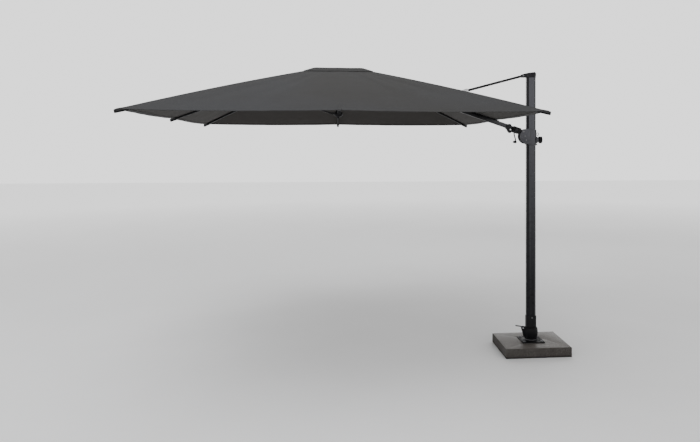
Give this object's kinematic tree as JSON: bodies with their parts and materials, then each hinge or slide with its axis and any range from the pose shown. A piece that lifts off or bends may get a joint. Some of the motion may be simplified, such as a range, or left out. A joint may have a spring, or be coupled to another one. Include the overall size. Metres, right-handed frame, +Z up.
{
  "type": "cantilever parasol",
  "caption": "Square cantilever parasol: a granite slab base, a swivelling side mast, a sliding carriage, a boom with a crank winch, a strut and a folding ribbed canopy with a vent cap.",
  "frame": {"origin": "centre of the slab's underside, on the mast's axis", "axes": "+Z up along the mast; +X from the canopy towards the mast's back; the boom lies in the XZ plane"},
  "size_m": [3.658, 3.036, 2.65],
  "materials": {
    "granite": "polished",
    "cast_black": "matte",
    "cast_alloy": "matte",
    "graphite": "satin",
    "dark_tube": "satin",
    "steel_black": "satin",
    "steel": "satin",
    "plastic": "matte",
    "canopy_cloth": "matte"
  },
  "bodies": {
    "base": {"granite_slab": "granite", "base_plate": "cast_black", "plate_bolt_1": "steel", "plate_bolt_2": "steel", "plate_bolt_3": "steel", "plate_bolt_4": "steel", "swivel_post": "steel"},
    "mast": {"swivel_foot": "cast_black", "mast_tube": "graphite", "mast_head": "cast_alloy", "sleeve_bolt": "steel", "pedal_pin": "steel", "strut_pin": "steel"},
    "pedal": {"pedal": "steel_black"},
    "strut": {"strut_bar_near": "dark_tube", "strut_bar_far": "dark_tube", "strut_joint_near": "steel", "strut_joint_far": "steel"},
    "boom": {"boom_tube": "dark_tube", "boom_foot": "cast_alloy", "boom_head": "cast_alloy", "strut_bracket": "cast_alloy", "bracket_bolt": "steel", "clamp_bolt": "steel", "winch_cover_near": "plastic", "winch_cover_far": "plastic", "canopy_rail": "plastic"},
    "crank": {"crank": "steel_black", "winch_drum": "steel"},
    "crank_grip": {"crank_grip": "plastic"},
    "carriage": {"carriage_sleeve": "graphite", "tilt_plate_near": "graphite", "tilt_plate_far": "graphite", "boom_pivot_bolt": "steel", "tilt_bolt": "steel", "tilt_plate_bolt": "steel", "eyelet": "steel_black"},
    "clamp_knob": {"clamp_knob": "plastic"},
    "hub": {"hub": "cast_alloy", "hub_bolt": "steel", "hub_post": "dark_tube", "canopy": "canopy_cloth", "vent_canopy": "canopy_cloth"},
    "runner": {"runner": "plastic"},
    "rib_corner_far_mast": {"rib_corner_far_mast": "dark_tube"},
    "rib_far": {"rib_far": "dark_tube"},
    "rib_corner_far_outer": {"rib_corner_far_outer": "dark_tube"},
    "rib_outer": {"rib_outer": "dark_tube"},
    "rib_corner_near_outer": {"rib_corner_near_outer": "dark_tube"},
    "rib_near": {"rib_near": "dark_tube"},
    "rib_corner_near_mast": {"rib_corner_near_mast": "dark_tube"},
    "brace_corner_far_mast": {"brace_corner_far_mast": "dark_tube"},
    "brace_far": {"brace_far": "dark_tube"},
    "brace_corner_far_outer": {"brace_corner_far_outer": "dark_tube"},
    "brace_outer": {"brace_outer": "dark_tube"},
    "brace_corner_near_outer": {"brace_corner_near_outer": "dark_tube"},
    "brace_near": {"brace_near": "dark_tube"},
    "brace_corner_near_mast": {"brace_corner_near_mast": "dark_tube"}
  },
  "joints": [
    {"name": "mast_swivel", "type": "hinge", "parent": "base", "child": "mast", "pos_m": [0, 0, 0.2], "axis": [0, 0, 1], "continuous": true},
    {"name": "pedal_hinge", "type": "hinge", "parent": "mast", "child": "pedal", "pos_m": [-0.08, 0, 0.21], "axis": [0, -1, 0], "range_deg": [0, 12], "stiffness_Nm_per_rad": 6},
    {"name": "strut_pivot", "type": "hinge", "parent": "mast", "child": "strut", "pos_m": [-0.082, 0, 2.612], "axis": [0, -1, 0], "range_deg": [0, 69.17], "deforming": ["canopy", "vent_canopy"]},
    {"name": "boom_pivot", "type": "hinge", "parent": "strut", "child": "boom", "pos_m": [-0.96, 0, 2.34651], "axis": [0, 1, 0], "range_deg": [0, 138.35]},
    {"name": "carriage_pivot", "type": "hinge", "parent": "boom", "child": "carriage", "pos_m": [-0.082, 0, 2.08101], "axis": [0, -1, 0], "range_deg": [0, 69.18]},
    {"name": "hub_pivot", "type": "hinge", "parent": "boom", "child": "hub", "pos_m": [-1.68, 0, 2.6222], "axis": [0, -1, 0], "range_deg": [0, 69.18]},
    {"name": "rib_corner_far_mast_hinge", "type": "hinge", "parent": "hub", "child": "rib_corner_far_mast", "pos_m": [-1.78757, 0.04243, 2.631], "axis": [-0.7071, 0.7071, 0], "range_deg": [0, 73.08]},
    {"name": "brace_corner_far_mast_hinge", "type": "hinge", "parent": "rib_corner_far_mast", "child": "brace_corner_far_mast", "pos_m": [-1.36225, 0.46775, 2.48489], "axis": [0.7071, -0.7071, 0], "range_deg": [0, 145.39]},
    {"name": "rib_far_hinge", "type": "hinge", "parent": "hub", "child": "rib_far", "pos_m": [-1.83, 0.06, 2.631], "axis": [-1, 0, 0], "range_deg": [0, 69.23]},
    {"name": "brace_far_hinge", "type": "hinge", "parent": "rib_far", "child": "brace_far", "pos_m": [-1.83, 0.7, 2.43812], "axis": [1, 0, 0], "range_deg": [0, 138.46]},
    {"name": "rib_corner_far_outer_hinge", "type": "hinge", "parent": "hub", "child": "rib_corner_far_outer", "pos_m": [-1.87243, 0.04243, 2.631], "axis": [-0.7071, -0.7071, 0], "range_deg": [0, 73.08]},
    {"name": "brace_corner_far_outer_hinge", "type": "hinge", "parent": "rib_corner_far_outer", "child": "brace_corner_far_outer", "pos_m": [-2.29775, 0.46775, 2.48489], "axis": [0.7071, 0.7071, 0], "range_deg": [0, 145.39]},
    {"name": "rib_outer_hinge", "type": "hinge", "parent": "hub", "child": "rib_outer", "pos_m": [-1.89, 0, 2.631], "axis": [0, -1, 0], "range_deg": [0, 69.23]},
    {"name": "brace_outer_hinge", "type": "hinge", "parent": "rib_outer", "child": "brace_outer", "pos_m": [-2.53, 0, 2.43812], "axis": [0, 1, 0], "range_deg": [0, 138.46]},
    {"name": "rib_corner_near_outer_hinge", "type": "hinge", "parent": "hub", "child": "rib_corner_near_outer", "pos_m": [-1.87243, -0.04243, 2.631], "axis": [0.7071, -0.7071, 0], "range_deg": [0, 73.08]},
    {"name": "brace_corner_near_outer_hinge", "type": "hinge", "parent": "rib_corner_near_outer", "child": "brace_corner_near_outer", "pos_m": [-2.29775, -0.46775, 2.48489], "axis": [-0.7071, 0.7071, 0], "range_deg": [0, 145.39]},
    {"name": "rib_near_hinge", "type": "hinge", "parent": "hub", "child": "rib_near", "pos_m": [-1.83, -0.06, 2.631], "axis": [1, 0, 0], "range_deg": [0, 69.23]},
    {"name": "brace_near_hinge", "type": "hinge", "parent": "rib_near", "child": "brace_near", "pos_m": [-1.83, -0.7, 2.43812], "axis": [-1, 0, 0], "range_deg": [0, 138.46]},
    {"name": "rib_corner_near_mast_hinge", "type": "hinge", "parent": "hub", "child": "rib_corner_near_mast", "pos_m": [-1.78757, -0.04243, 2.631], "axis": [0.7071, 0.7071, 0], "range_deg": [0, 73.08]},
    {"name": "brace_corner_near_mast_hinge", "type": "hinge", "parent": "rib_corner_near_mast", "child": "brace_corner_near_mast", "pos_m": [-1.36225, -0.46775, 2.48489], "axis": [-0.7071, -0.7071, 0], "range_deg": [0, 145.39]},
    {"name": "runner_pivot", "type": "hinge", "parent": "brace_outer", "child": "runner", "pos_m": [-1.89, 0, 2.24525], "axis": [0, -1, 0], "range_deg": [0, 69.23]},
    {"name": "crank_spin", "type": "hinge", "parent": "boom", "child": "crank", "pos_m": [-0.15466, 0, 2.09717], "axis": [0, 1, 0], "range_deg": [0, 2974.54]},
    {"name": "grip_spin", "type": "hinge", "parent": "crank", "child": "crank_grip", "pos_m": [-0.18366, -0.095, 1.98217], "axis": [0, 1, 0], "continuous": true},
    {"name": "clamp_knob_spin", "type": "hinge", "parent": "carriage", "child": "clamp_knob", "pos_m": [0.09, 0, 2.00301], "axis": [1, 0, 0], "continuous": true}
  ],
  "couplings": [
    {"joint": "boom_pivot", "follows": "strut_pivot", "ratio": 2},
    {"joint": "carriage_pivot", "follows": "strut_pivot", "ratio": 1},
    {"joint": "hub_pivot", "follows": "strut_pivot", "ratio": 1},
    {"joint": "rib_corner_far_mast_hinge", "follows": "strut_pivot", "ratio": 1.0563},
    {"joint": "brace_corner_far_mast_hinge", "follows": "strut_pivot", "ratio": 2.1017},
    {"joint": "rib_far_hinge", "follows": "strut_pivot", "ratio": 1.0008},
    {"joint": "brace_far_hinge", "follows": "strut_pivot", "ratio": 2.0016},
    {"joint": "rib_corner_far_outer_hinge", "follows": "strut_pivot", "ratio": 1.0563},
    {"joint": "brace_corner_far_outer_hinge", "follows": "strut_pivot", "ratio": 2.1017},
    {"joint": "rib_outer_hinge", "follows": "strut_pivot", "ratio": 1.0008},
    {"joint": "brace_outer_hinge", "follows": "strut_pivot", "ratio": 2.0016},
    {"joint": "rib_corner_near_outer_hinge", "follows": "strut_pivot", "ratio": 1.0563},
    {"joint": "brace_corner_near_outer_hinge", "follows": "strut_pivot", "ratio": 2.1017},
    {"joint": "rib_near_hinge", "follows": "strut_pivot", "ratio": 1.0008},
    {"joint": "brace_near_hinge", "follows": "strut_pivot", "ratio": 2.0016},
    {"joint": "rib_corner_near_mast_hinge", "follows": "strut_pivot", "ratio": 1.0563},
    {"joint": "brace_corner_near_mast_hinge", "follows": "strut_pivot", "ratio": 2.1017},
    {"joint": "runner_pivot", "follows": "strut_pivot", "ratio": 1.0008},
    {"joint": "crank_spin", "follows": "strut_pivot", "ratio": 43}
  ]
}
